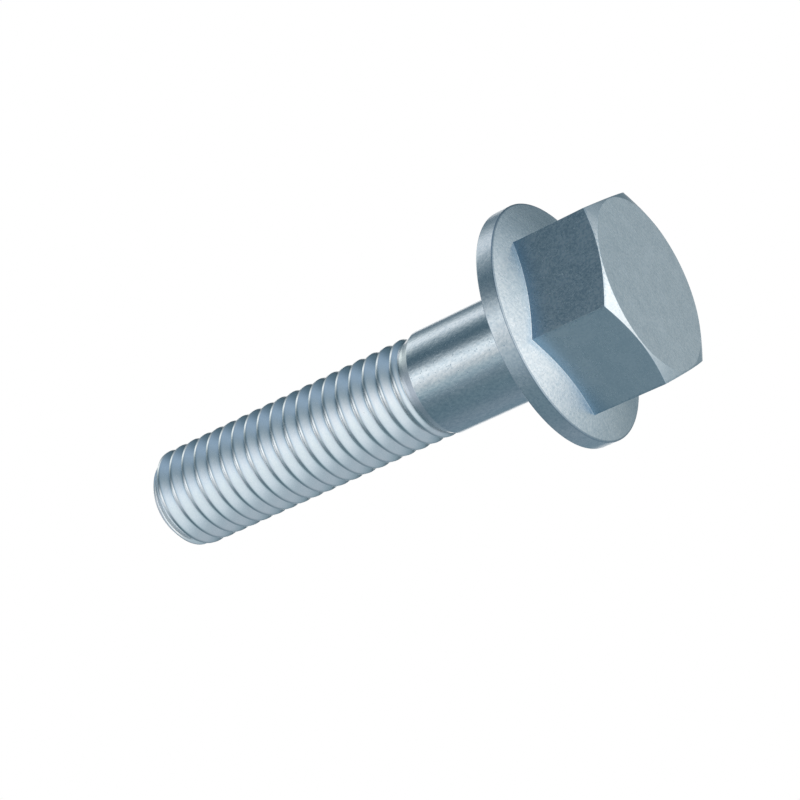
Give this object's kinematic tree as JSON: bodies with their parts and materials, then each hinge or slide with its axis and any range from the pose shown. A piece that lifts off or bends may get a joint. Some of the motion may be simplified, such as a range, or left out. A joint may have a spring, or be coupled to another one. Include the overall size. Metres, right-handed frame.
{
  "type": "hexagon flange bolt",
  "caption": "Hexagon bolt with a round flange under its head, a plain shank, a rolled right-hand thread and a chamfered tip.",
  "frame": {"origin": "centre of the flange's bearing face, on the axis of the shank", "axes": "+Z along the shank towards the tip, so that the bolt stands on the flat top of its head; +X through a corner of the hexagon"},
  "size_m": [0.018, 0.018, 0.0431],
  "materials": {
    "zinc_plated_steel": "bright blue-white zinc plating, satin on the head, smoother on the thread"
  },
  "bodies": {
    "root": {"flange_bolt": "zinc_plated_steel"}
  },
  "joints": []
}
